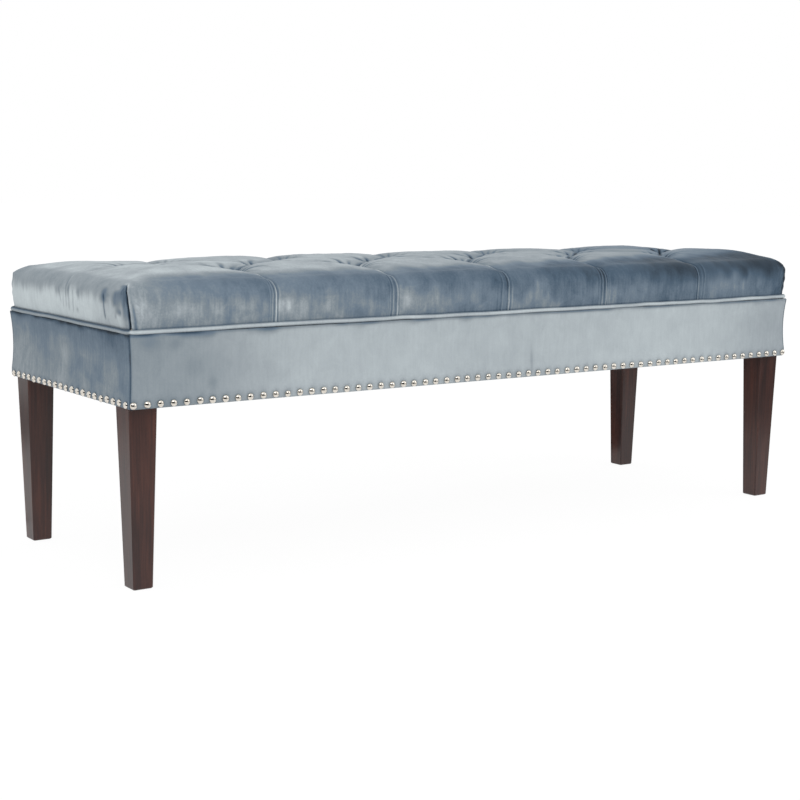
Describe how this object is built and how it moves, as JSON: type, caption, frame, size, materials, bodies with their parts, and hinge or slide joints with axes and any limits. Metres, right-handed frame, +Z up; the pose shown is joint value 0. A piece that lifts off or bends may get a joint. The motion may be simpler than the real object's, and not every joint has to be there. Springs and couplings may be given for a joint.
{
  "type": "upholstered bench",
  "caption": "Long velvet bench with a button-tufted seat, piping, a padded apron edged with domed nails, and square tapered dark wood legs.",
  "frame": {"origin": "on the floor, under the middle of the seat", "axes": "+X along the bench's length, +Y to the back, +Z up"},
  "size_m": [1.376, 0.46, 0.4748],
  "materials": {
    "velvet": "crushed velvet, sheen",
    "stained_wood": "satin lacquer",
    "nickel": "polished",
    "plywood": "raw",
    "pine": "raw",
    "zinc_steel": "zinc plated",
    "foam": "open-cell foam",
    "wadding": "soft fibre",
    "twine": "waxed",
    "cambric": "matt non-woven"
  },
  "bodies": {
    "root": {"apron_nails_back": "nickel", "apron_nails_front": "nickel", "apron_nails_left": "nickel", "apron_nails_right": "nickel", "apron_padding_back": "wadding", "apron_padding_front": "wadding", "apron_padding_left": "wadding", "apron_padding_right": "wadding", "apron_panel_back": "velvet", "apron_panel_front": "velvet", "apron_panel_left": "velvet", "apron_panel_right": "velvet", "batting_wrap": "wadding", "corner_block_back_left": "pine", "corner_block_back_right": "pine", "corner_block_front_left": "pine", "corner_block_front_right": "pine", "corner_block_screws": "zinc_steel", "cross_brace_left": "pine", "cross_brace_right": "pine", "dust_cover": "cambric", "dust_cover_staples": "zinc_steel", "foam_block": "foam", "leg_back_left": "stained_wood", "leg_back_right": "stained_wood", "leg_front_left": "stained_wood", "leg_front_right": "stained_wood", "leg_hanger_bolts": "zinc_steel", "leg_threaded_inserts": "zinc_steel", "piping_cord": "velvet", "rail_back": "plywood", "rail_front": "plywood", "rail_left": "plywood", "rail_right": "plywood", "seat_deck": "plywood", "tuft_buttons": "velvet", "tufted_seat_cover": "velvet", "tufting_toggles": "pine", "tufting_twines": "twine"}
  },
  "joints": []
}
